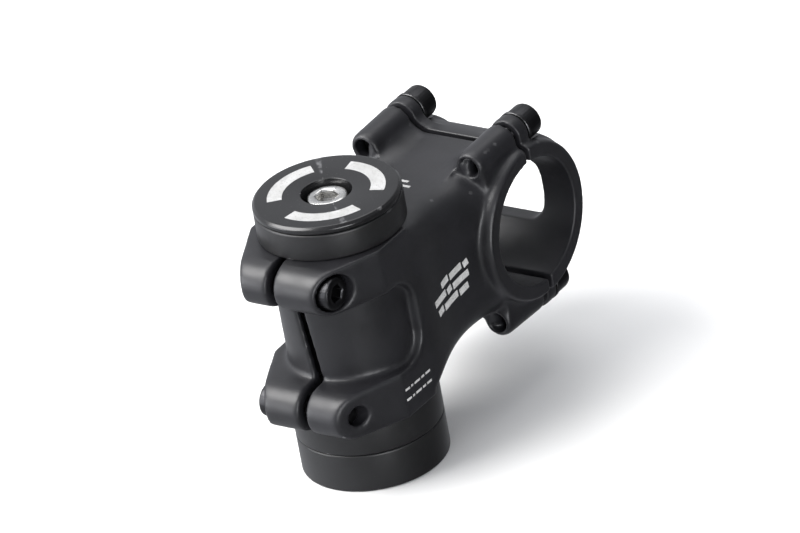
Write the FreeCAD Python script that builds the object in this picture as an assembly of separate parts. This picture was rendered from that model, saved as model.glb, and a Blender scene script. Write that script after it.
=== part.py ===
"""Bicycle handlebar stem, in millimetres.

Frame: the origin is on the steerer axis at the stem body's bottom face. +Z runs up the steerer,
+Y runs forward to the handlebar, and +X is the rider's right.
"""
import FreeCAD
import Part
import math
import os

Vector = FreeCAD.Vector

# Stem body
STACK_HEIGHT = 46.0
MID_HEIGHT = STACK_HEIGHT / 2
HALF_WIDTH = 19.0
STEERER_RADIUS = 14.3
RELIEF_RADIUS = 14.8
POCKET_WALL_RADIUS = 16.5

# Rear lugs: each is a band around the side of the clamp that ends in a round boss
LUG_RADIUS = 6.0
LUG_BOLT_Y = -19.6
LUG_END_HALF_WIDTH = 10.6
LUG_TAPER_DEG = 25.0
POCKET_FRONT_Y = 2.5
POCKET_CORNER = 7.0
SLIT_WIDTH = 2.0
SLIT_LOWER_X = 0.4
SLIT_UPPER_X = -2.2

# Neck: (distance forward, half width, half height, corner radius) of each cross-section
NECK_SECTIONS = [
    (4.0, 19.0, 23.0, 2.0),
    (12.0, 18.5, 21.0, 6.0),
    (22.0, 17.6, 19.8, 8.0),
    (32.0, 19.0, 19.3, 9.0),
    (42.0, 21.6, 19.4, 9.0),
]
HOLLOW_START_Y = 20.0
HOLLOW_HALF_WIDTH = 11.0
HOLLOW_HALF_HEIGHT = 9.0
HOLLOW_CORNER = 5.0

# Handlebar clamp
STEM_LENGTH = 50.0
BAR_RADIUS = 15.9
RING_RADIUS = 20.0
CLAMP_HALF_WIDTH = 22.0
SPLIT_Y = STEM_LENGTH + 0.9
SPLIT_GAP = 1.4
EAR_X = 15.5
EAR_RISE = 21.5
EAR_REAR_Y = 35.5
EAR_FRONT_Y = 55.5
EAR_REAR_RADIUS = 4.0
EAR_FRONT_RADIUS = 4.5
RIB_RADIUS = 21.0
RIB_HALF_WIDTH = 4.2
WINDOW_HALF_WIDTH = 12.5
WINDOW_HALF_HEIGHT = 9.0
WINDOW_CORNER = 4.0

# Fasteners
M5_SHANK = 2.45
M5_HOLE = 2.55
M5_CLEARANCE = 2.8
M5_HEAD_RADIUS = 4.25
M5_HEAD_HEIGHT = 5.0
M5_SOCKET = 4.0
M6_SHANK = 2.95
M6_HOLE = 3.05
M6_CLEARANCE = 3.3
M6_HEAD_RADIUS = 5.0
M6_HEAD_HEIGHT = 4.0
M6_SOCKET = 5.0
WASHER_RADIUS = 4.5
WASHER_THICKNESS = 1.0
COUNTERBORE_RADIUS = 4.7
FACE_BOLT_LENGTH = 18.0
LUG_BOLT_LENGTH = 20.0
LUG_SEAT_X = 7.7
CAP_BOLT_LENGTH = 30.0

# Rings and cap on the steerer
SPACER_RADIUS = 18.2
SPACER_BORE = 14.5
UPPER_SPACER = 7.0
LOWER_SPACER = 8.0
BASE_SPACER = 10.0
CAP_BASE_Z = STACK_HEIGHT + UPPER_SPACER
CAP_THICKNESS = 2.0
CAP_TOP_RADIUS = 17.5
CAP_RECESS_RADIUS = 6.3
CAP_SPIGOT_RADIUS = 13.9
CAP_HUB_RADIUS = 9.0
CAP_SEAT_Z = CAP_BASE_Z - 3.0

# Star nut, pressed in the steerer tube
NUT_BOTTOM_Z = 20.0
NUT_LENGTH = 15.0
NUT_RADIUS = 4.7
FLANGE_RADIUS = 11.9
FLANGE_THICKNESS = 0.6
FLANGE_RISE = 2.4
FLANGE_PETALS = 8
UPPER_FLANGE_Z = NUT_BOTTOM_Z + 12.0
LOWER_FLANGE_Z = NUT_BOTTOM_Z + 2.5

X_AXIS = Vector(1, 0, 0)
Y_AXIS = Vector(0, 1, 0)
Z_AXIS = Vector(0, 0, 1)


def cylinder(radius, start, end):
    """A cylinder between two points on its axis."""
    axis = end - start
    return Part.makeCylinder(radius, axis.Length, start, axis)


def block(low, high):
    """A box between its lowest and highest corners."""
    size = high - low
    return Part.makeBox(size.x, size.y, size.z, low)


def line(a, b):
    return Part.LineSegment(a, b).toShape()


def arc(centre, radius, start_deg, end_deg, place):
    """An arc in a plane; place turns its two plane coordinates into a point."""
    points = []
    for share in (0.0, 0.5, 1.0):
        angle = math.radians(start_deg + share * (end_deg - start_deg))
        u = centre[0] + radius * math.cos(angle)
        v = centre[1] + radius * math.sin(angle)
        points.append(place(u, v))
    return Part.Arc(*points).toShape()


def rounded_rectangle(half_width, half_height, corner, place):
    """A closed wire, centred on the plane's origin, that place puts in space."""
    u, v = half_width - corner, half_height - corner
    corners = [((u, v), 0), ((-u, v), 90), ((-u, -v), 180), ((u, -v), 270)]
    arcs = [arc(centre, corner, start, start + 90, place) for centre, start in corners]
    edges = []
    for here, following in zip(arcs, arcs[1:] + arcs[:1]):
        edges.append(here)
        edges.append(line(here.Vertexes[-1].Point, following.Vertexes[0].Point))
    return Part.Wire(edges)


def polygon_prism(points, direction):
    wire = Part.makePolygon(points + points[:1])
    return Part.Face(wire).extrude(direction)


def ring(outer, inner, bottom, top, chamfer):
    """A ring around the steerer axis with chamfered outer edges."""
    profile = [
        Vector(inner, 0, bottom),
        Vector(outer - chamfer, 0, bottom),
        Vector(outer, 0, bottom + chamfer),
        Vector(outer, 0, top - chamfer),
        Vector(outer - chamfer, 0, top),
        Vector(inner, 0, top),
    ]
    return turned(profile)


def turned(profile):
    """A solid of revolution around the steerer axis from points in the XZ plane."""
    wire = Part.makePolygon(profile + profile[:1])
    return Part.Face(wire).revolve(Vector(), Z_AXIS, 360)


def mirrored_x(shape):
    return shape.mirror(Vector(), X_AXIS)


def on_the_side(u, v):
    """Places plane coordinates on the centre plane: u forward, v up."""
    return Vector(0, u, v)


def clamp_side_outline():
    """The steerer clamp seen from the side: two bands with round rear ends around a pocket."""
    low, high = LUG_RADIUS, STACK_HEIGHT - LUG_RADIUS
    front = NECK_SECTIONS[0][0]
    corner_y = POCKET_FRONT_Y - POCKET_CORNER
    pocket_low, pocket_high = 2 * LUG_RADIUS, STACK_HEIGHT - 2 * LUG_RADIUS
    return Part.Wire(
        [
            line(Vector(0, front, 0), Vector(0, LUG_BOLT_Y, 0)),
            arc((LUG_BOLT_Y, low), LUG_RADIUS, 270, 90, on_the_side),
            line(Vector(0, LUG_BOLT_Y, pocket_low), Vector(0, corner_y, pocket_low)),
            arc((corner_y, pocket_low + POCKET_CORNER), POCKET_CORNER, 270, 360, on_the_side),
            line(
                Vector(0, POCKET_FRONT_Y, pocket_low + POCKET_CORNER),
                Vector(0, POCKET_FRONT_Y, pocket_high - POCKET_CORNER),
            ),
            arc((corner_y, pocket_high - POCKET_CORNER), POCKET_CORNER, 0, 90, on_the_side),
            line(Vector(0, corner_y, pocket_high), Vector(0, LUG_BOLT_Y, pocket_high)),
            arc((LUG_BOLT_Y, high), LUG_RADIUS, 270, 90, on_the_side),
            line(Vector(0, LUG_BOLT_Y, STACK_HEIGHT), Vector(0, front, STACK_HEIGHT)),
            line(Vector(0, front, STACK_HEIGHT), Vector(0, front, 0)),
        ]
    )


def clamp_bands():
    """The side outline run across the clamp, tapered in plan towards the lugs."""
    side = Part.Face(clamp_side_outline()).extrude(X_AXIS * 2 * HALF_WIDTH)
    side.translate(X_AXIS * -HALF_WIDTH)
    rear = LUG_BOLT_Y - LUG_RADIUS
    taper = (HALF_WIDTH - LUG_END_HALF_WIDTH) / math.tan(math.radians(LUG_TAPER_DEG))
    front = NECK_SECTIONS[0][0]
    right_side = [(LUG_END_HALF_WIDTH, rear), (HALF_WIDTH, rear + taper), (HALF_WIDTH, front)]
    left_side = [(-x, y) for x, y in reversed(right_side)]
    plan = polygon_prism([Vector(x, y, 0) for x, y in right_side + left_side], Z_AXIS * STACK_HEIGHT)
    return side.common(plan)


def neck():
    """The neck, lofted forward from the steerer clamp into the handlebar clamp."""
    wires = []
    for y, half_width, half_height, corner in NECK_SECTIONS:

        def place(u, v, y=y):
            return Vector(u, y, MID_HEIGHT + v)

        wires.append(rounded_rectangle(half_width, half_height, corner, place))
    return Part.makeLoft(wires, True)


def bar_axis_point(x):
    return Vector(x, STEM_LENGTH, MID_HEIGHT)


def bar_ring():
    """The round outside of the handlebar clamp, with chamfered side edges."""
    whole = cylinder(RING_RADIUS, bar_axis_point(-CLAMP_HALF_WIDTH), bar_axis_point(CLAMP_HALF_WIDTH))
    rims = [edge for edge in whole.Edges if abs(edge.Length - 2 * math.pi * RING_RADIUS) < 0.1]
    return whole.makeChamfer(0.8, rims)


def ear_heights():
    return (MID_HEIGHT - EAR_RISE, MID_HEIGHT + EAR_RISE)


def ear_centres():
    """The faceplate bolts' places: name, x and z."""
    low, high = ear_heights()
    return [
        ("lower_left", -EAR_X, low),
        ("lower_right", EAR_X, low),
        ("upper_left", -EAR_X, high),
        ("upper_right", EAR_X, high),
    ]


def body_ears():
    """Conical bosses behind the handlebar clamp, each on a web down to the clamp.

    They run past the split, where the body is cut flat.
    """
    web_half_width = EAR_REAR_RADIUS - 0.3
    length = EAR_FRONT_Y - EAR_REAR_Y
    ears = []
    for _, x, z in ear_centres():
        rear = Vector(x, EAR_REAR_Y, z)
        boss = Part.makeCone(EAR_REAR_RADIUS, EAR_FRONT_RADIUS, length, rear, Y_AXIS)
        rim = [edge for edge in boss.Edges if abs(edge.CenterOfMass.y - EAR_REAR_Y) < 0.01]
        ears.append(boss.makeChamfer(0.6, rim))
        inward = math.copysign(1, MID_HEIGHT - z)
        ends = sorted((z, z + inward * 7.0))
        low = Vector(x - web_half_width, EAR_REAR_Y + 0.6, ends[0])
        high = Vector(x + web_half_width, EAR_FRONT_Y, ends[1])
        ears.append(block(low, high))
    return ears


def slit():
    """The rear slit, upright through each lug and slanted between them."""
    low_end, high_end = 2 * LUG_RADIUS, STACK_HEIGHT - 2 * LUG_RADIUS
    path = [
        (SLIT_LOWER_X, -1.0),
        (SLIT_LOWER_X, low_end),
        (SLIT_UPPER_X, high_end),
        (SLIT_UPPER_X, STACK_HEIGHT + 1.0),
    ]
    rear = LUG_BOLT_Y - LUG_RADIUS - 1
    half = SLIT_WIDTH / 2
    outline = [Vector(x - half, rear, z) for x, z in path]
    outline += [Vector(x + half, rear, z) for x, z in reversed(path)]
    return polygon_prism(outline, Y_AXIS * -rear)


def lug_bolts():
    """The clamp bolts: name, height, the side their heads are on, and where they cross the slit."""
    upper = ("upper", STACK_HEIGHT - LUG_RADIUS, 1, SLIT_UPPER_X)
    lower = ("lower", LUG_RADIUS, -1, SLIT_LOWER_X)
    return [upper, lower]


def lug_holes():
    """For each clamp bolt: a counterbore and clearance hole on the head's side, then a tapped hole."""
    holes = []
    for _, z, side, slit_x in lug_bolts():
        seat = Vector(side * LUG_SEAT_X, LUG_BOLT_Y, z)
        outside = Vector(side * HALF_WIDTH, LUG_BOLT_Y, z)
        far_side = Vector(-side * HALF_WIDTH, LUG_BOLT_Y, z)
        slit_place = Vector(slit_x, LUG_BOLT_Y, z)
        holes.append(cylinder(COUNTERBORE_RADIUS, seat, outside))
        holes.append(cylinder(M5_CLEARANCE, slit_place, seat))
        holes.append(cylinder(M5_HOLE, far_side, slit_place))
    return holes


def neck_hollow():
    """The hollow inside the neck, open to the handlebar bore."""

    def place(u, v):
        return Vector(u, HOLLOW_START_Y, MID_HEIGHT + v)

    wire = rounded_rectangle(HOLLOW_HALF_WIDTH, HOLLOW_HALF_HEIGHT, HOLLOW_CORNER, place)
    return Part.Face(wire).extrude(Y_AXIS * (STEM_LENGTH - HOLLOW_START_Y))


def stem_body():
    front = SPLIT_Y - SPLIT_GAP / 2
    wall = cylinder(POCKET_WALL_RADIUS, Vector(), Z_AXIS * STACK_HEIGHT)
    solid = clamp_bands().fuse([wall, neck(), bar_ring()] + body_ears())
    relief_low, relief_high = 2 * LUG_RADIUS + 1, STACK_HEIGHT - 2 * LUG_RADIUS - 1
    cuts = [
        block(Vector(-40, front, -25), Vector(40, 90, STACK_HEIGHT + 25)),
        cylinder(STEERER_RADIUS, Z_AXIS * -1, Z_AXIS * (STACK_HEIGHT + 1)),
        cylinder(RELIEF_RADIUS, Z_AXIS * relief_low, Z_AXIS * relief_high),
        cylinder(BAR_RADIUS, bar_axis_point(-30), bar_axis_point(30)),
        slit(),
        neck_hollow(),
    ]
    cuts += lug_holes()
    for _, x, z in ear_centres():
        cuts.append(cylinder(M5_HOLE, Vector(x, EAR_REAR_Y - 2, z), Vector(x, front + 1, z)))
    for cut in cuts:
        solid = solid.cut(cut)
    return solid.removeSplitter()


def faceplate_rib():
    """The raised rib that joins the right-hand ears around the front of the clamp."""
    low, high = ear_heights()
    reach = Vector(0, EAR_FRONT_Y - STEM_LENGTH, EAR_RISE)
    tangent = math.degrees(math.atan2(reach.z, reach.y) - math.acos(RIB_RADIUS / reach.Length))
    front = arc((STEM_LENGTH, MID_HEIGHT), RIB_RADIUS, tangent, -tangent, on_the_side)
    corners = [
        front.Vertexes[-1].Point,
        Vector(0, EAR_FRONT_Y, low),
        Vector(0, SPLIT_Y, low),
        Vector(0, SPLIT_Y, high),
        Vector(0, EAR_FRONT_Y, high),
        front.Vertexes[0].Point,
    ]
    edges = [front] + [line(a, b) for a, b in zip(corners, corners[1:])]
    rib = Part.Face(Part.Wire(edges)).extrude(X_AXIS * 2 * RIB_HALF_WIDTH)
    rib.translate(X_AXIS * (EAR_X - RIB_HALF_WIDTH))
    sides = [edge for edge in rib.Edges if not crosses(edge, X_AXIS) and not at_split(edge)]
    return rib.makeFillet(2.0, sides)


def faceplate_ears():
    """Round barrels that carry the bolts in front of the split."""
    ears = []
    for _, x, z in ear_centres():
        ear = cylinder(EAR_FRONT_RADIUS, Vector(x, EAR_REAR_Y, z), Vector(x, EAR_FRONT_Y, z))
        rim = [edge for edge in ear.Edges if abs(edge.CenterOfMass.y - EAR_FRONT_Y) < 0.01]
        ears.append(ear.makeChamfer(0.4, rim))
    return ears


def crosses(edge, direction):
    """True for a straight edge along a direction."""
    ends = [vertex.Point for vertex in edge.Vertexes]
    if len(ends) < 2:
        return False
    return abs((ends[1] - ends[0]).normalize().dot(direction)) > 0.99


def at_split(edge):
    return all(abs(vertex.Point.y - SPLIT_Y) < 0.01 for vertex in edge.Vertexes)


def faceplate():
    back = SPLIT_Y + SPLIT_GAP / 2
    behind = block(Vector(-40, -30, -25), Vector(40, back, STACK_HEIGHT + 25))
    rib = faceplate_rib()
    solid = bar_ring().fuse([rib, mirrored_x(rib)] + faceplate_ears()).cut(behind)

    def place(u, v):
        return Vector(u, STEM_LENGTH, MID_HEIGHT + v)

    window = Part.Face(rounded_rectangle(WINDOW_HALF_WIDTH, WINDOW_HALF_HEIGHT, WINDOW_CORNER, place))
    cuts = [
        cylinder(BAR_RADIUS, bar_axis_point(-30), bar_axis_point(30)),
        window.extrude(Y_AXIS * 30),
    ]
    for _, x, z in ear_centres():
        cuts.append(cylinder(M5_CLEARANCE, Vector(x, back - 1, z), Vector(x, EAR_FRONT_Y, z)))
        cuts.append(cylinder(COUNTERBORE_RADIUS, Vector(x, EAR_FRONT_Y, z), Vector(x, 80, z)))
    return solid.cut(cuts)


def hexagon(across_flats, bottom, height):
    radius = across_flats / math.sqrt(3)
    points = []
    for i in range(6):
        angle = math.radians(60 * i)
        points.append(Vector(radius * math.cos(angle), radius * math.sin(angle), bottom))
    return polygon_prism(points, Z_AXIS * height)


def socket_bolt(head_radius, head_height, shank_radius, length, socket):
    """A socket bolt along +Z, with the underside of its head at the origin."""
    bevel = 0.5
    profile = [
        Vector(0, 0, -length),
        Vector(shank_radius - bevel, 0, -length),
        Vector(shank_radius, 0, -length + bevel),
        Vector(shank_radius, 0, 0),
        Vector(head_radius, 0, 0),
        Vector(head_radius, 0, head_height - bevel),
        Vector(head_radius - bevel, 0, head_height),
        Vector(0, 0, head_height),
    ]
    depth = head_height * 0.6
    return turned(profile).cut(hexagon(socket, head_height - depth, depth + 1))


def washer():
    """A washer under a head: it fills the space just below the origin along Z."""
    return ring(WASHER_RADIUS, M5_CLEARANCE, 0, WASHER_THICKNESS, 0.15)


def aimed(shape, seat, direction):
    """Turns a part made along +Z to a direction, and moves its origin to a seat."""
    placed = shape.copy()
    placed.Placement = FreeCAD.Placement(seat, FreeCAD.Rotation(Z_AXIS, direction))
    return placed


def m5_bolt(length):
    return socket_bolt(M5_HEAD_RADIUS, M5_HEAD_HEIGHT, M5_SHANK, length, M5_SOCKET)


def clamp_fasteners(nodes):
    for name, z, side, _ in lug_bolts():
        outward = X_AXIS * side
        seat = Vector(side * LUG_SEAT_X, LUG_BOLT_Y, z)
        nodes[f"steerer_clamp_washer_{name}"] = aimed(washer(), seat, outward)
        head = seat + outward * WASHER_THICKNESS
        nodes[f"steerer_clamp_bolt_{name}"] = aimed(m5_bolt(LUG_BOLT_LENGTH), head, outward)


def faceplate_fasteners(nodes):
    for name, x, z in ear_centres():
        seat = Vector(x, EAR_FRONT_Y, z)
        nodes[f"faceplate_washer_{name}"] = aimed(washer(), seat, Y_AXIS)
        head = seat + Y_AXIS * WASHER_THICKNESS
        nodes[f"faceplate_bolt_{name}"] = aimed(m5_bolt(FACE_BOLT_LENGTH), head, Y_AXIS)


def top_cap():
    """The cap: a bevelled disc with a locating spigot, a hub and a deep seat for its bolt."""
    top = CAP_BASE_Z + CAP_THICKNESS
    hub_bottom = CAP_SEAT_Z - 2.0
    profile = [
        Vector(M6_CLEARANCE, 0, hub_bottom),
        Vector(CAP_HUB_RADIUS, 0, hub_bottom),
        Vector(CAP_HUB_RADIUS, 0, CAP_BASE_Z - 1.6),
        Vector(CAP_SPIGOT_RADIUS, 0, CAP_BASE_Z - 1.6),
        Vector(CAP_SPIGOT_RADIUS, 0, CAP_BASE_Z),
        Vector(SPACER_RADIUS - 0.4, 0, CAP_BASE_Z),
        Vector(SPACER_RADIUS, 0, CAP_BASE_Z + 0.4),
        Vector(SPACER_RADIUS, 0, top - 0.7),
        Vector(CAP_TOP_RADIUS, 0, top),
        Vector(CAP_RECESS_RADIUS, 0, top),
        Vector(CAP_RECESS_RADIUS - 0.7, 0, CAP_SEAT_Z),
        Vector(M6_CLEARANCE, 0, CAP_SEAT_Z),
    ]
    return turned(profile)


def top_cap_bolt():
    bolt = socket_bolt(M6_HEAD_RADIUS, M6_HEAD_HEIGHT, M6_SHANK, CAP_BOLT_LENGTH, M6_SOCKET)
    return aimed(bolt, Z_AXIS * CAP_SEAT_Z, Z_AXIS)


def star_nut_barrel():
    return ring(NUT_RADIUS, M6_HOLE, NUT_BOTTOM_Z, NUT_BOTTOM_Z + NUT_LENGTH, 0.5)


def star_nut_flange(bottom):
    """A thin dished flange with slots that divide its edge into springy petals."""
    inner = NUT_RADIUS + 0.02
    flat = NUT_RADIUS + 2.0
    profile = [
        Vector(inner, 0, bottom),
        Vector(flat, 0, bottom),
        Vector(FLANGE_RADIUS, 0, bottom + FLANGE_RISE),
        Vector(FLANGE_RADIUS, 0, bottom + FLANGE_RISE + FLANGE_THICKNESS),
        Vector(flat, 0, bottom + FLANGE_THICKNESS),
        Vector(inner, 0, bottom + FLANGE_THICKNESS),
    ]
    slots = []
    for i in range(FLANGE_PETALS):
        slot = block(Vector(flat + 0.6, -1.3, bottom - 1), Vector(FLANGE_RADIUS + 1, 1.3, bottom + 5))
        slot.rotate(Vector(), Z_AXIS, 360 / FLANGE_PETALS * i)
        slots.append(slot)
    return turned(profile).cut(slots)


def spacers(nodes):
    nodes["upper_spacer"] = ring(SPACER_RADIUS, SPACER_BORE, STACK_HEIGHT, CAP_BASE_Z, 0.4)
    nodes["lower_spacer"] = ring(SPACER_RADIUS, SPACER_BORE, -LOWER_SPACER, 0, 0.4)
    base = -LOWER_SPACER - BASE_SPACER
    nodes["base_spacer"] = ring(SPACER_RADIUS, SPACER_BORE, base, -LOWER_SPACER, 0.4)


def build():
    nodes = {"stem_body": stem_body(), "faceplate": faceplate()}
    clamp_fasteners(nodes)
    faceplate_fasteners(nodes)
    spacers(nodes)
    nodes["top_cap"] = top_cap()
    nodes["top_cap_bolt"] = top_cap_bolt()
    nodes["star_nut_barrel"] = star_nut_barrel()
    nodes["star_nut_upper_flange"] = star_nut_flange(UPPER_FLANGE_Z)
    nodes["star_nut_lower_flange"] = star_nut_flange(LOWER_FLANGE_Z)
    return nodes


os.makedirs("parts", exist_ok=True)
for node, shape in build().items():
    shape.exportStep(f"parts/{node}.step")
    print(f"{node}: {len(shape.Solids)} solid, valid {shape.isValid()}, {shape.Volume / 1000:.2f} cm3")
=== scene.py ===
"""Looks of the handlebar stem, in metres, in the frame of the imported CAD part."""

import math

import bmesh
import bpy
import numpy as np
from mathutils import Matrix, Vector
from mathutils.bvhtree import BVHTree


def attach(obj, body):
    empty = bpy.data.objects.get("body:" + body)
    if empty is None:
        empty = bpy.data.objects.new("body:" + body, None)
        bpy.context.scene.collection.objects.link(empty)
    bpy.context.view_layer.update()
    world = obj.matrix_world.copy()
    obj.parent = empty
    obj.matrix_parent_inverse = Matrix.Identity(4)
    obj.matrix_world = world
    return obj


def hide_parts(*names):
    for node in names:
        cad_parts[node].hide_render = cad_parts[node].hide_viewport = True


MM = 0.001

# Sizes the CAD part was made with, in millimetres
STACK = 46.0
BAR_Y, BAR_Z, BAR_R = 50.0, 23.0, 15.9
STEERER_R, RELIEF_R = 14.3, 14.8
CLAMP_HALF = 22.0
BODY_FRONT, PLATE_BACK = 50.2, 51.6
EAR_X, EAR_RISE, EAR_REAR, SEAT_Y, WASHER = 15.5, 21.5, 35.5, 55.5, 1.0
EARS = {
    "lower_left": (-EAR_X, BAR_Z - EAR_RISE),
    "lower_right": (EAR_X, BAR_Z - EAR_RISE),
    "upper_left": (-EAR_X, BAR_Z + EAR_RISE),
    "upper_right": (EAR_X, BAR_Z + EAR_RISE),
}
LUG_Y, LUG_R, LUG_SEAT = -19.6, 6.0, 7.7
# Each rear lug's height, the side its bolt enters from, and where its thread starts
LUGS = {"upper": (STACK - LUG_R, 1, 3.2), "lower": (LUG_R, -1, 1.4)}
TAPPED_R, CLEARANCE_R, COUNTERBORE_R = 2.55, 2.8, 4.7
SPACER_R, SPACER_BORE = 18.2, 14.5
CAP_TOP, CAP_BASE, CAP_SEAT, CAP_BOTTOM = 55.0, 53.0, 50.0, 48.0
FOOT = -18.0
SPACERS = {"upper_spacer": (STACK, CAP_BASE), "lower_spacer": (-8.0, 0.0), "base_spacer": (FOOT, -8.0)}
M5 = {"head_r": 4.25, "head_h": 5.0, "shank_r": 2.45, "socket": 4.0, "pitch": 0.8, "knurls": 36}
M6 = {"head_r": 5.0, "head_h": 4.0, "shank_r": 2.95, "socket": 5.0, "pitch": 1.0, "knurls": 0}

# How the looks are made: the gap left between pieces that touch, the height of the ink, the
# grid of the rebuilt forgings, how often it is smoothed, how much a worked surface moves in
# that, and from how far points are put back on it before and after
CONTACT_GAP = 0.015
INK = 0.03
VOXEL = 0.4
ROUNDS = 18
GRIP = 0.45
FIRST_REACH, LAST_REACH = 0.30, 0.07

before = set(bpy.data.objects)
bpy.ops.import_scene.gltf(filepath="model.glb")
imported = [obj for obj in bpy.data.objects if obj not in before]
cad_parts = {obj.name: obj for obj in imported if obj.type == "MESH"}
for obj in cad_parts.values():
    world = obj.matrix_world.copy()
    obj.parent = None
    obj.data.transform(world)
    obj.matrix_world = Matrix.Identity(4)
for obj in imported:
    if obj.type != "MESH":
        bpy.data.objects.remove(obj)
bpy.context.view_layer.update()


# ---------------------------------------------------------------- materials

def new_material(name):
    material = bpy.data.materials.new(name)
    material.use_nodes = True
    return material, Nodes(material.node_tree)


class Nodes:
    """Short names for the shader nodes the materials here are made of."""

    def __init__(self, tree):
        self.tree = tree
        self.shader = tree.nodes["Principled BSDF"]
        self.coords = self.add("ShaderNodeTexCoord").outputs["Object"]

    def add(self, kind, **settings):
        node = self.tree.nodes.new(kind)
        for key, value in settings.items():
            setattr(node, key, value)
        return node

    def link(self, value, socket):
        if hasattr(value, "links"):
            self.tree.links.new(value, socket)
        else:
            socket.default_value = value

    def set(self, **values):
        for key, value in values.items():
            self.link(value, self.shader.inputs[key.replace("_", " ")])

    def noise(self, scale, detail=3.0, roughness=0.5, vector=None):
        node = self.add("ShaderNodeTexNoise")
        self.link(self.coords if vector is None else vector, node.inputs["Vector"])
        node.inputs["Scale"].default_value = scale
        node.inputs["Detail"].default_value = detail
        node.inputs["Roughness"].default_value = roughness
        return node.outputs["Fac"]

    def stretched(self, scale):
        node = self.add("ShaderNodeMapping")
        self.link(self.coords, node.inputs["Vector"])
        node.inputs["Scale"].default_value = scale
        return node.outputs["Vector"]

    def remap(self, value, low, high, to_low=0.0, to_high=1.0):
        node = self.add("ShaderNodeMapRange")
        for index, item in enumerate((value, low, high, to_low, to_high)):
            self.link(item, node.inputs[index])
        return node.outputs["Result"]

    def maths(self, operation, a, b=0.0):
        node = self.add("ShaderNodeMath", operation=operation)
        self.link(a, node.inputs[0])
        self.link(b, node.inputs[1])
        return node.outputs["Value"]

    def mix(self, factor, a, b):
        node = self.add("ShaderNodeMix", data_type="RGBA")
        self.link(factor, node.inputs["Factor"])
        self.link(a, node.inputs["A"])
        self.link(b, node.inputs["B"])
        return node.outputs["Result"]

    def bump(self, height, distance, strength):
        node = self.add("ShaderNodeBump")
        self.link(height, node.inputs["Height"])
        node.inputs["Distance"].default_value = distance
        node.inputs["Strength"].default_value = strength
        return node.outputs["Normal"]

    def edges(self, low, high):
        """1 on outward edges of a fine mesh, 0 elsewhere."""
        geometry = self.add("ShaderNodeNewGeometry")
        return self.remap(geometry.outputs["Pointiness"], low, high)

    def radius_and_height(self):
        """Distance from the object's own Z axis, and the height along it."""
        split = self.add("ShaderNodeSeparateXYZ")
        self.link(self.coords, split.inputs[0])
        squares = [self.maths("MULTIPLY", split.outputs[axis], split.outputs[axis]) for axis in "XY"]
        return self.maths("SQRT", self.maths("ADD", *squares)), split.outputs["Z"]


def grey(value, blue=0.0):
    return (value, value, value * (1 + blue), 1.0)


def anodised():
    """Bead-blasted black anodising, a little rubbed along its edges."""
    material, n = new_material("anodised_black")
    broad = n.noise(55.0, 4.0, 0.6)
    cloud = n.noise(260.0, 3.0, 0.55)
    grain = n.noise(6500.0, 2.0, 0.6)
    base = n.mix(n.remap(broad, 0.3, 0.7), grey(0.009, 0.16), grey(0.014, 0.22))
    speck = n.remap(n.noise(2600.0, 1.0), 0.66, 0.80, 0.0, 0.16)
    base = n.mix(speck, base, grey(0.06, 0.05))
    pale_edges = n.maths("MULTIPLY", n.edges(0.535, 0.60), n.remap(cloud, 0.45, 0.65))
    base = n.mix(n.maths("MULTIPLY", pale_edges, 0.55), base, grey(0.11, 0.03))
    rough = n.maths("ADD", n.remap(broad, 0.3, 0.7, 0.37, 0.47), n.remap(cloud, 0.3, 0.7, -0.03, 0.04))
    rough = n.maths("SUBTRACT", rough, n.maths("MULTIPLY", pale_edges, 0.12))
    height = n.maths("ADD", grain, n.maths("MULTIPLY", cloud, 0.8))
    n.set(Base_Color=base, Roughness=rough, Metallic=0.15, Normal=n.bump(height, 0.000012, 0.55))
    n.shader.inputs["IOR"].default_value = 1.54
    return material


TOOL_FEED = 0.16 * MM


def turned_black(name, gloss, tint, lines):
    """Black anodising on lathe-turned parts, with fine rings left by the tool."""
    material, n = new_material(name)
    broad = n.noise(70.0, 4.0, 0.6)
    cloud = n.noise(420.0, 3.0, 0.55)
    base = n.mix(n.remap(broad, 0.3, 0.7), grey(tint, 0.05), grey(tint * 1.5, 0.08))
    dust = n.remap(n.noise(3100.0, 1.5), 0.69, 0.80, 0.0, 0.15)
    base = n.mix(dust, base, grey(0.18, 0.0))
    along = n.maths("ADD", *n.radius_and_height())
    rings = n.maths("SINE", n.maths("MULTIPLY", along, 2 * math.pi / TOOL_FEED))
    # Paler edges: partly rubbed anodising, partly a painted highlight that draws the cap's rim chamfer as a
    # thin bright line.
    pale_edges = n.maths("MULTIPLY", n.edges(0.53, 0.60), n.remap(cloud, 0.42, 0.62))
    base = n.mix(n.maths("MULTIPLY", pale_edges, 0.6), base, grey(0.22, 0.03))
    rough = n.maths("ADD", n.remap(broad, 0.3, 0.7, gloss, gloss + 0.07), n.maths("MULTIPLY", dust, 0.5))
    height = n.maths("ADD", n.maths("MULTIPLY", rings, lines), n.maths("MULTIPLY", cloud, 0.6))
    n.set(Base_Color=base, Roughness=rough, Metallic=0.3, Normal=n.bump(height, 0.000008, 0.5))
    n.shader.inputs["IOR"].default_value = 1.6
    return material


def metal(name, colour, roughness, spread, scratch, worn=None):
    """Bare or blackened steel, with fine scratches and uneven polish."""
    material, n = new_material(name)
    broad = n.noise(180.0, 4.0, 0.6)
    fine = n.noise(1800.0, 3.0, 0.6)
    streaks = n.noise(1.0, 2.0, 0.6, n.stretched((900.0, 900.0, 9000.0)))
    base = n.mix(n.remap(broad, 0.3, 0.7), [c * 0.8 for c in colour[:3]] + [1.0], colour)
    if worn:
        pale_edges = n.maths("MULTIPLY", n.edges(0.53, 0.62), n.remap(fine, 0.35, 0.6))
        base = n.mix(n.maths("MULTIPLY", pale_edges, 0.4), base, worn)
    rough = n.maths("ADD", n.remap(broad, 0.3, 0.7, roughness, roughness + spread),
                    n.remap(streaks, 0.3, 0.7, -spread * 0.5, spread * 0.5))
    height = n.maths("ADD", n.maths("MULTIPLY", streaks, scratch), fine)
    n.set(Base_Color=base, Roughness=rough, Metallic=1.0, Normal=n.bump(height, 0.000010, 0.4))
    return material


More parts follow.
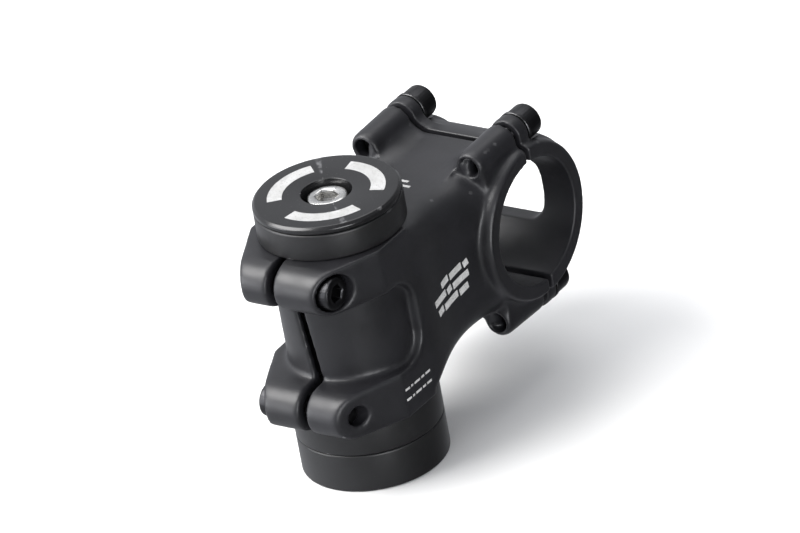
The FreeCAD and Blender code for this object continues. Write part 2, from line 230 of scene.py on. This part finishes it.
def print_ink():
    """Pale screen print with thin places."""
    material, n = new_material("pale_print")
    worn = n.remap(n.noise(2400.0, 3.0, 0.7), 0.34, 0.42)
    tone = n.remap(n.noise(500.0, 2.0), 0.3, 0.7)
    base = n.mix(tone, grey(0.38, -0.02), grey(0.48, 0.0))
    base = n.mix(worn, grey(0.16), base)
    n.set(Base_Color=base, Roughness=n.remap(tone, 0.0, 1.0, 0.42, 0.6), Normal=n.bump(tone, 0.000006, 0.5))
    return material


def floor_material():
    material, n = new_material("studio_floor")
    tone = n.remap(n.noise(9.0, 4.0, 0.6), 0.3, 0.7)
    n.set(Base_Color=n.mix(tone, grey(0.83, -0.01), grey(0.87, 0.0)),
          Roughness=n.remap(n.noise(40.0, 3.0), 0.3, 0.7, 0.55, 0.7),
          Normal=n.bump(n.noise(1500.0, 3.0), 0.00002, 0.3))
    return material


ANODISED = anodised()
SPACER_FINISH = turned_black("anodised_turned", gloss=0.38, tint=0.010, lines=0.35)
# The cap's paler rim edge is partly a painted highlight along its chamfer.
CAP_FINISH = turned_black("cap_gloss", gloss=0.19, tint=0.009, lines=0.12)
BLACK_STEEL = metal("black_steel", grey(0.045, 0.06), 0.32, spread=0.12, scratch=0.3, worn=grey(0.22))
STAINLESS = metal("stainless", (0.66, 0.655, 0.64, 1.0), 0.20, spread=0.12, scratch=0.4)
ZINC = metal("plain_steel", (0.56, 0.57, 0.59, 1.0), 0.30, spread=0.14, scratch=0.3)
PRINT = print_ink()


# ------------------------------------------------------------------ meshes

def make_object(name, mesh, material):
    obj = bpy.data.objects.new(name, mesh)
    bpy.context.scene.collection.objects.link(obj)
    mesh.materials.clear()
    mesh.materials.append(material)
    return obj


def mesh_from(name, vertices, faces, sharp_deg=None):
    """A mesh from points in millimetres, shaded smooth except across edges sharper than sharp_deg."""
    mesh = bpy.data.meshes.new(name)
    mesh.from_pydata((np.asarray(vertices, float) * MM).tolist(), [], faces)
    mesh.validate()
    mesh.shade_smooth()
    if sharp_deg is not None:
        mesh.set_sharp_from_angle(angle=math.radians(sharp_deg))
    return mesh


def finish_piece(obj, body, nodes=()):
    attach(obj, body)
    if nodes:
        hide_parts(*nodes)
    return obj


class Surface:
    """A worked surface of the part that keeps its exact place when the rest is softened."""

    def __init__(self, centre, axis, low, high, radius=None):
        self.centre = np.array(centre, float)
        self.axis = np.array(axis, float)
        self.low, self.high, self.radius = low, high, radius

    def offsets(self, points):
        """Each point's way to the surface, and whether it is beside the surface's stretch."""
        relative = points - self.centre
        along = relative @ self.axis
        across = relative - along[:, None] * self.axis
        distance = np.linalg.norm(across, axis=1)
        if self.radius is None:
            beside = (distance >= self.low) & (distance <= self.high)
            return -along[:, None] * self.axis, beside
        beside = (along > self.low) & (along < self.high)
        outward = across / np.maximum(distance, 1e-9)[:, None]
        return outward * (self.radius - distance)[:, None], beside


def flat(centre, axis, low=0.0, high=99.0):
    return Surface(centre, axis, low, high)


def hole(centre, axis, low, high, radius):
    return Surface(centre, axis, low, high, radius)


def remeshed_node(node, fillers, voxel):
    """Points and quads of a CAD node with its fillers, rebuilt on an even grid, in millimetres."""
    work = bmesh.new()
    work.from_mesh(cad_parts[node].data)
    bmesh.ops.remove_doubles(work, verts=work.verts, dist=1e-6)
    for vertices, faces in fillers:
        made = [work.verts.new(tuple(point * MM)) for point in vertices]
        for face in faces:
            work.faces.new([made[i] for i in face])
    bmesh.ops.recalc_face_normals(work, faces=work.faces)
    source = bpy.data.meshes.new("grid_source")
    work.to_mesh(source)
    work.free()
    obj = bpy.data.objects.new("grid_source", source)
    bpy.context.scene.collection.objects.link(obj)
    grid = obj.modifiers.new("grid", "REMESH")
    grid.mode, grid.voxel_size, grid.adaptivity = "VOXEL", voxel * MM, 0.0
    evaluated = obj.evaluated_get(bpy.context.evaluated_depsgraph_get())
    mesh = bpy.data.meshes.new_from_object(evaluated)
    points = np.zeros(len(mesh.vertices) * 3)
    mesh.vertices.foreach_get("co", points)
    bpy.data.objects.remove(obj)
    bpy.data.meshes.remove(source)
    return points.reshape(-1, 3) / MM, mesh


def settle(points, surfaces, reach):
    """Puts the points within reach of a worked surface onto it, and tells which they were."""
    settled = np.zeros(len(points), bool)
    for surface in surfaces:
        way, beside = surface.offsets(points)
        near = beside & (np.linalg.norm(way, axis=1) < reach)
        points[near] += way[near]
        settled |= near
    return settled


def soften(points, mesh, surfaces):
    """Rounds edges and fills corners, while points on worked surfaces stay on them."""
    edges = np.zeros(len(mesh.edges) * 2, int)
    mesh.edges.foreach_get("vertices", edges)
    a, b = edges.reshape(-1, 2).T
    count = np.bincount(a, minlength=len(points)) + np.bincount(b, minlength=len(points))
    weight = np.where(settle(points, surfaces, FIRST_REACH), GRIP, 1.0)
    for _ in range(ROUNDS):
        mean = np.empty_like(points)
        for k in range(3):
            total = np.bincount(a, points[b, k], len(points)) + np.bincount(b, points[a, k], len(points))
            mean[:, k] = total / count
        points += 0.5 * weight[:, None] * (mean - points)
    settle(points, surfaces, LAST_REACH)
    return points


def softened_piece(name, node, rides_on, fillers, voxel, surfaces):
    """A forging in place of a CAD node: its edges rounded, its fillers blended in."""
    points, mesh = remeshed_node(node, fillers, voxel)
    points = soften(points, mesh, surfaces)
    mesh.vertices.foreach_set("co", (points * MM).ravel())
    mesh.update()
    mesh.shade_smooth()
    obj = make_object(name, mesh, ANODISED)
    return finish_piece(obj, rides_on, [node])


def loft(rings, capped=True):
    """Faces that join rings of the same number of points, in order."""
    size = len(rings[0])
    vertices = np.concatenate(rings)
    faces = []
    for row in range(len(rings) - 1):
        for i in range(size):
            j = (i + 1) % size
            base, above = row * size, (row + 1) * size
            faces.append((base + i, base + j, above + j, above + i))
    if capped:
        last = (len(rings) - 1) * size
        faces.append(tuple(reversed(range(size))))
        faces.append(tuple(range(last, last + size)))
    return vertices, faces


def turned_out(made):
    """The same points and faces, each face seen from its other side."""
    vertices, faces = made
    return vertices, [tuple(reversed(face)) for face in faces]


def circle(size):
    return np.arange(size) * 2 * math.pi / size


def round_ring(angles, radius, z):
    height = np.broadcast_to(z, angles.shape)
    return np.column_stack([radius * np.cos(angles), radius * np.sin(angles), height])


def hexagon_radius(angles, apothem):
    return apothem / np.cos((angles + math.pi / 6) % (math.pi / 3) - math.pi / 6)


def thread_rings(angles, radius, pitch, bottom, top):
    """Rings down a threaded shank, each bent a little along the thread's helix."""
    depth = 0.54 * pitch
    rings = []
    steps = math.ceil((top - bottom) / (pitch / 8))
    for step in range(steps + 1):
        z = top + (bottom - top) * step / steps
        turn = (z / pitch - angles / (2 * math.pi)) % 1.0
        crest = np.clip(1.35 - np.abs(turn * 2 - 1) * 1.7, 0.0, 1.0)
        fade = min(1.0, (top - z) / (1.2 * pitch))
        lead = min(1.0, 0.15 + (z - bottom) / (1.1 * pitch))
        r = radius - depth * (1 - crest) * fade
        rings.append(round_ring(angles, np.minimum(r, radius - depth * (1 - lead)), z))
    return rings


def bolt_mesh(name, length, head_r, head_h, shank_r, socket, pitch, knurls):
    """A socket bolt along +Z, from its socket's floor over the rim and down to the tip.

    The underside of its head is at the origin.
    """
    angles = circle(96)
    knurl = 0.10 * np.abs(np.sin(angles * knurls / 2)) if knurls else 0.0
    side = head_r - knurl
    apothem = socket / 2
    hexagon = hexagon_radius(angles, apothem)
    rim = apothem / math.cos(math.pi / 6) + 0.22
    floor = head_h * 0.4
    rings = [
        round_ring(angles, 0.25, floor - 0.35),
        round_ring(angles, hexagon * 0.55, floor - 0.12),
        round_ring(angles, hexagon * 0.98, floor),
        round_ring(angles, hexagon, floor + 0.08),
        round_ring(angles, hexagon, head_h - 0.38),
        round_ring(angles, hexagon * 0.35 + rim * 0.65, head_h - 0.10),
        round_ring(angles, rim + 0.06, head_h),
        round_ring(angles, head_r - 0.75, head_h),
        round_ring(angles, head_r - 0.42, head_h - 0.10),
        round_ring(angles, head_r - 0.18, head_h - 0.30),
        round_ring(angles, head_r - 0.08, head_h - 0.62),
        round_ring(angles, side, head_h - 0.80),
        round_ring(angles, side, 0.55),
        round_ring(angles, head_r - 0.10, 0.35),
        round_ring(angles, head_r - 0.12, 0.10),
        round_ring(angles, head_r - 0.30, CONTACT_GAP),
        round_ring(angles, shank_r, CONTACT_GAP),
    ]
    bevel = 0.5
    rings += thread_rings(angles, shank_r, pitch, -length + bevel, -0.6)
    rings.append(round_ring(angles, shank_r - 0.62, -length + 0.12))
    rings.append(round_ring(angles, shank_r - 0.85, -length))
    return mesh_from(name, *turned_out(loft(rings)), 32)


def turned_mesh(name, profile):
    """A closed ring of revolution around Z from (radius, height) points."""
    segments = 200
    angles = circle(segments)
    rings = [round_ring(angles, r, z) for r, z in profile + profile[:1]]
    vertices, faces = loft(rings, capped=False)
    count = len(profile) * segments
    faces = [tuple(i % count for i in face) for face in faces]
    return mesh_from(name, vertices[:count], faces, 30)


def rounded_profile(points, radius, steps):
    """The closed outline with each corner rounded."""
    out = []
    size = len(points)
    for i in range(size):
        before, here, after = (np.array(points[k % size], float) for k in (i - 1, i, i + 1))
        back, on = before - here, after - here
        reach = min(radius, np.linalg.norm(back) * 0.45, np.linalg.norm(on) * 0.45)
        start = here + back / np.linalg.norm(back) * reach
        end = here + on / np.linalg.norm(on) * reach
        for k in range(steps + 1):
            t = k / steps
            out.append(tuple((1 - t) ** 2 * start + 2 * t * (1 - t) * here + t * t * end))
    return out


# -------------------------------------------------------- body and faceplate

body_surfaces = [
    flat((0, 0, STACK), (0, 0, 1), high=21.0),
    flat((0, 0, 0), (0, 0, 1), high=21.0),
    flat((0, BODY_FRONT, BAR_Z), (0, 1, 0)),
    flat((CLAMP_HALF, BAR_Y, BAR_Z), (1, 0, 0)),
    flat((-CLAMP_HALF, BAR_Y, BAR_Z), (1, 0, 0)),
    hole((0, 0, 0), (0, 0, 1), -1, 13.2, STEERER_R),
    hole((0, 0, 0), (0, 0, 1), 32.8, 47, STEERER_R),
    hole((0, 0, 0), (0, 0, 1), 12.8, 33.2, RELIEF_R),
    hole((0, BAR_Y, BAR_Z), (1, 0, 0), -23, 23, BAR_R),
]
for x, z in EARS.values():
    body_surfaces.append(hole((x, 0, z), (0, 1, 0), EAR_REAR - 0.3, BODY_FRONT + 1, TAPPED_R))
    body_surfaces.append(flat((x, EAR_REAR, z), (0, 1, 0), high=3.6))
for z, side, thread in LUGS.values():
    body_surfaces.append(hole((0, LUG_Y, z), (side, 0, 0), LUG_SEAT, 20, COUNTERBORE_R))
    body_surfaces.append(hole((0, LUG_Y, z), (side, 0, 0), 0, LUG_SEAT, CLEARANCE_R))
    body_surfaces.append(hole((0, LUG_Y, z), (-side, 0, 0), thread, 20, TAPPED_R))
    body_surfaces.append(flat((side * LUG_SEAT, LUG_Y, z), (1, 0, 0), high=COUNTERBORE_R))

plate_surfaces = [
    flat((0, PLATE_BACK, BAR_Z), (0, 1, 0)),
    flat((CLAMP_HALF, BAR_Y, BAR_Z), (1, 0, 0)),
    flat((-CLAMP_HALF, BAR_Y, BAR_Z), (1, 0, 0)),
    hole((0, BAR_Y, BAR_Z), (1, 0, 0), -23, 23, BAR_R),
]
for x, z in EARS.values():
    plate_surfaces.append(hole((x, 0, z), (0, 1, 0), PLATE_BACK - 1, SEAT_Y + 0.1, CLEARANCE_R))
    plate_surfaces.append(hole((x, 0, z), (0, 1, 0), SEAT_Y, 70, COUNTERBORE_R))
    plate_surfaces.append(flat((x, SEAT_Y, z), (0, 1, 0), high=COUNTERBORE_R))

# Half of the hollow between the ears, as (x, z) from an ear down, and the heights of the
# clamp's top beside it and of the fillers' undersides inside the clamp's wall
EAR_BLEND = [(15.0, 48.0), (13.2, 47.3), (11.6, 45.7), (10.0, 44.2), (8.2, 43.2), (5.6, 42.4)]
BLEND_FLOOR, BLEND_ROOT = 42.3, 40.2


def blend_ring(outline, y, x_side, z_side):
    """An outline of (x, z) points placed at y, to either side, above or below the bar's axis."""
    return np.array([(x_side * x, y, BAR_Z + z_side * (z - BAR_Z)) for x, z in outline])


def ear_blends(sections):
    """Hollow-ground blends from the four ears down to the clamp.

    Sections are (y, share of the full height, how far out they reach).
    """
    blends = []
    for x_side in (1, -1):
        for z_side in (1, -1):
            rings = []
            for y, share, reach in sections:
                outline = [(min(x, reach), BLEND_FLOOR + share * (z - BLEND_FLOOR)) for x, z in EAR_BLEND]
                outline += [(EAR_BLEND[-1][0], BLEND_ROOT), (reach, BLEND_ROOT)]
                rings.append(blend_ring(outline, y, x_side, z_side))
            blends.append(loft(rings))
    return blends


def clamp_saddles(ramp):
    """Shallow ramps that carry the neck's top and bottom into the round clamp, as (y, top)."""
    half = 6.5
    saddles = []
    for z_side in (1, -1):
        rings = []
        for y, top in ramp:
            outline = [(half, BLEND_ROOT), (half, top), (-half, top), (-half, BLEND_ROOT)]
            rings.append(blend_ring(outline, y, 1, z_side))
        saddles.append(loft(rings))
    return saddles


body_blends = clamp_saddles([
    (28.0, 42.0), (32.0, 42.28), (36.0, 42.42), (40.0, 42.58), (44.0, 42.74), (47.5, 42.85),
    (BODY_FRONT, 42.88),
])
body_blends += ear_blends([
    (27.5, 0.0, 10.8), (31.5, 0.05, 10.8), (34.0, 0.18, 10.8), (35.4, 0.38, 10.9), (36.1, 0.52, 15.0),
    (38.5, 0.82, 15.0), (41.0, 1.0, 15.0), (BODY_FRONT, 1.0, 15.0),
])
plate_blends = ear_blends([(PLATE_BACK, 1.0, 15.0), (SEAT_Y - 0.4, 0.9, 15.0)])

body = softened_piece("body_forging", "stem_body", "stem", body_blends, VOXEL, body_surfaces)
softened_piece("faceplate_forging", "faceplate", "faceplate", plate_blends, VOXEL * 0.85, plate_surfaces)


# ----------------------------------------------------------------- fasteners

def aim(obj, seat, direction):
    turn = Vector((0, 0, 1)).rotation_difference(Vector(direction))
    obj.matrix_world = Matrix.Translation(Vector(seat) * MM) @ turn.to_matrix().to_4x4()


FACE_BOLT = bolt_mesh("m5_face", 18.0, **M5)
LUG_BOLT = bolt_mesh("m5_clamp", 20.0, **M5)
CAP_BOLT = bolt_mesh("m6_cap", 30.0, **M6)

for corner, (x, z) in EARS.items():
    node = "faceplate_bolt_" + corner
    bolt = make_object("socket_bolt_face_" + corner, FACE_BOLT.copy(), BLACK_STEEL)
    aim(bolt, (x, SEAT_Y + WASHER, z), (0, 1, 0))
    finish_piece(bolt, node, [node])
for end, (z, side, _) in LUGS.items():
    bolt = make_object("socket_bolt_clamp_" + end, LUG_BOLT.copy(), BLACK_STEEL)
    aim(bolt, (side * (LUG_SEAT + WASHER), LUG_Y, z), (side, 0, 0))
    finish_piece(bolt, "clamp_bolt_" + end, ["steerer_clamp_bolt_" + end])
bolt = make_object("socket_bolt_cap", CAP_BOLT, STAINLESS)
aim(bolt, (0, 0, CAP_SEAT), (0, 0, 1))
finish_piece(bolt, "top_cap_bolt", ["top_cap_bolt"])


# ------------------------------------------------------- spacers and top cap

def spacer(node, bottom, top):
    bottom, top = bottom + CONTACT_GAP, top - CONTACT_GAP
    outline = [(SPACER_BORE, bottom), (SPACER_R, bottom), (SPACER_R, top), (SPACER_BORE, top)]
    mesh = turned_mesh(node + "_ring", rounded_profile(outline, 0.55, 5))
    obj = make_object(node + "_ring", mesh, SPACER_FINISH)
    finish_piece(obj, node, [node])


for node, (bottom, top) in SPACERS.items():
    spacer(node, bottom, top)

# The cap's bolt hole, the boss in the steerer, the plug in the spacer and where they meet
CAP_BORE, CAP_BOSS, CAP_PLUG, CAP_STEP = 3.3, 9.0, 13.9, 51.4
cap_outline = [
    (CAP_BORE, CAP_BOTTOM), (CAP_BOSS, CAP_BOTTOM), (CAP_BOSS, CAP_STEP), (CAP_PLUG, CAP_STEP),
    (CAP_PLUG, CAP_BASE), (SPACER_R - 0.4, CAP_BASE), (SPACER_R, CAP_BASE + 0.4),
    (SPACER_R, CAP_TOP - 0.7), (SPACER_R - 0.7, CAP_TOP), (6.3, CAP_TOP), (5.6, CAP_SEAT),
    (CAP_BORE, CAP_SEAT),
]
cap = make_object("cap_disc", turned_mesh("cap_disc", rounded_profile(cap_outline, 0.22, 4)), CAP_FINISH)
finish_piece(cap, "top_cap", ["top_cap"])


def print_arc(name, start_deg, end_deg):
    """A raised strip of ink along an arc on the cap's top."""
    inner, outer = 10.8, 14.4
    steps = (end_deg - start_deg) // 2
    low, high = CAP_TOP - 0.02, CAP_TOP + INK
    rings = []
    for k in range(steps + 1):
        angle = math.radians(start_deg + (end_deg - start_deg) * k / steps)
        c, s = math.cos(angle), math.sin(angle)
        corners = ((inner, low), (outer, low), (outer, high), (inner, high))
        rings.append(np.array([(r * c, r * s, z) for r, z in corners]))
    return mesh_from(name, *turned_out(loft(rings)), 30)


for i, (start, end) in enumerate([(20, 100), (140, 220), (260, 340)]):
    strip = make_object(f"cap_print_{i}", print_arc(f"cap_print_{i}", start, end), PRINT)
    finish_piece(strip, "top_cap")


# --------------------------------------------------------- marks on the body

body_tree = BVHTree.FromObject(body, bpy.context.evaluated_depsgraph_get())


def printed_bar(name, start, end, width, place, direction):
    """A thin bar of ink on the body, cast along the direction.

    Place turns the bar's two plane coordinates into a point outside the body.
    """
    start, end = np.array(start, float), np.array(end, float)
    along = (end - start) / np.linalg.norm(end - start)
    across = np.array([-along[1], along[0]]) * width / 2
    direction = Vector(direction)
    rings = []
    for share in np.linspace(0.0, 1.0, 9):
        middle = start + share * (end - start)
        upper, lower = [], []
        for side in np.linspace(-1.0, 1.0, 4):
            hit, *_ = body_tree.ray_cast(Vector(place(*(middle + side * across))) * MM, direction)
            point = np.array(hit) / MM
            upper.append(point - INK * np.array(direction))
            lower.append(point + 0.05 * np.array(direction))
        rings.append(np.array(upper + lower[::-1]))
    mesh = mesh_from(name, *loft(rings), 40)
    work = bmesh.new()
    work.from_mesh(mesh)
    bmesh.ops.recalc_face_normals(work, faces=work.faces)
    work.to_mesh(mesh)
    work.free()
    finish_piece(make_object(name, mesh, PRINT), "stem")


def beside_right(y, z):
    return (40.0, y, z)


def above(x, y):
    return (x, y, 90.0)


LEFTWARD, DOWNWARD = (-1, 0, 0), (0, 0, -1)
SIDE_ROWS = [
    (24.6, [(13.8, 3.4), (18.0, 5.2), (24.0, 1.8)]),
    (21.6, [(9.6, 5.6), (16.0, 2.0), (18.8, 6.6)]),
    (18.6, [(10.6, 2.4), (13.8, 6.4), (21.0, 3.6)]),
]
for row, (z, dashes) in enumerate(SIDE_ROWS):
    for i, (start, length) in enumerate(dashes):
        ends = (start, z - 0.25), (start + length, z + 0.25)
        printed_bar(f"side_mark_{row}_{i}", *ends, 1.8, beside_right, LEFTWARD)
for row, z in enumerate((7.4, 4.7)):
    for i, (start, length) in enumerate([(-7.6, 1.7), (-5.3, 0.8), (-3.9, 2.3), (-1.0, 1.2), (0.8, 1.9)]):
        printed_bar(f"band_mark_{row}_{i}", (start, z), (start + length, z), 0.6, beside_right, LEFTWARD)
printed_bar("neck_mark_0", (-1.2, 26.2), (4.2, 26.2), 0.9, above, DOWNWARD)
printed_bar("neck_mark_1", (-1.2, 28.4), (2.2, 28.4), 0.9, above, DOWNWARD)


# ------------------------------------------------------------ carried-over CAD

CARRIED = (("washer", BLACK_STEEL, "black_steel"), ("star_nut", ZINC, "plain_steel"))
for node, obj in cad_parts.items():
    for word, material, slot in CARRIED:
        if word in node:
            obj.data.materials.clear()
            obj.data.materials.append(material)


# -------------------------------------------------------------------- studio

def studio_floor():
    """A wide pale floor under the lowest ring; it stays out of the black parts' reflections."""
    half, height = 6.0, (FOOT - 0.05) * MM
    corners = [(-half, -half, height), (half, -half, height), (half, half, height), (-half, half, height)]
    mesh = bpy.data.meshes.new("floor")
    mesh.from_pydata(corners, [], [(0, 1, 2, 3)])
    obj = make_object("floor", mesh, floor_material())
    obj.visible_glossy = False


def softbox(name, place, target, width, height, power, colour=(1, 1, 1)):
    data = bpy.data.lights.new(name, "AREA")
    data.shape, data.size, data.size_y = "RECTANGLE", width, height
    data.energy, data.color = power, colour
    obj = bpy.data.objects.new(name, data)
    bpy.context.scene.collection.objects.link(obj)
    place, target = Vector(place), Vector(target)
    obj.location = place
    obj.rotation_mode = "QUATERNION"
    obj.rotation_quaternion = (target - place).to_track_quat("-Z", "Y")


studio_floor()
middle = Vector((0, 0.022, 0.022))
softbox("key", (-0.62, -0.58, 0.98), middle, 0.90, 0.90, 27.0, (1.0, 0.99, 0.975))
softbox("top", (-0.15, 0.40, 1.10), middle, 0.80, 0.80, 5.0)
softbox("side", (0.85, -0.62, 0.12), middle, 0.50, 0.70, 9.0, (0.97, 0.98, 1.0))
softbox("left", (-0.80, -0.75, 0.10), middle, 0.60, 0.50, 6.0, (0.97, 0.98, 1.0))


def studio_world():
    """Surroundings that are bright to the rear left and dark to the front right."""
    world = bpy.data.worlds.new("studio")
    bpy.context.scene.world = world
    world.use_nodes = True
    tree = world.node_tree
    background = tree.nodes["Background"]
    coords = tree.nodes.new("ShaderNodeTexCoord")
    dot = tree.nodes.new("ShaderNodeVectorMath")
    dot.operation = "DOT_PRODUCT"
    dot.inputs[1].default_value = (-0.913, -0.355, 0.203)
    ramp = tree.nodes.new("ShaderNodeMapRange")
    for index, value in ((1, -0.9), (2, 0.9), (3, 0.07), (4, 1.0)):
        ramp.inputs[index].default_value = value
    tree.links.new(coords.outputs["Generated"], dot.inputs[0])
    tree.links.new(dot.outputs["Value"], ramp.inputs[0])
    tree.links.new(ramp.outputs["Result"], background.inputs["Strength"])
    background.inputs["Color"].default_value = (0.93, 0.95, 1.0, 1.0)


studio_world()


def photo_camera():
    """A long lens behind, to the right of and above the stem, rolled so that the steerer leans left."""
    right = Vector((0.8150, 0.5555, -0.1632)).normalized()
    up = Vector((-0.1531, 0.4785, 0.8643))
    up = (up - right * up.dot(right)).normalized()
    back = right.cross(up)
    data = bpy.data.cameras.new("photo_view")
    data.sensor_width, data.lens, data.clip_start, data.clip_end = 36.0, 560.0, 0.1, 100.0
    obj = bpy.data.objects.new("photo_view", data)
    bpy.context.scene.collection.objects.link(obj)
    turn = Matrix((right, up, back)).transposed().to_4x4()
    obj.matrix_world = Matrix.Translation(middle + back * 3.0) @ turn
    bpy.context.scene.camera = obj


photo_camera()
bpy.context.scene.view_settings.view_transform = "Standard"
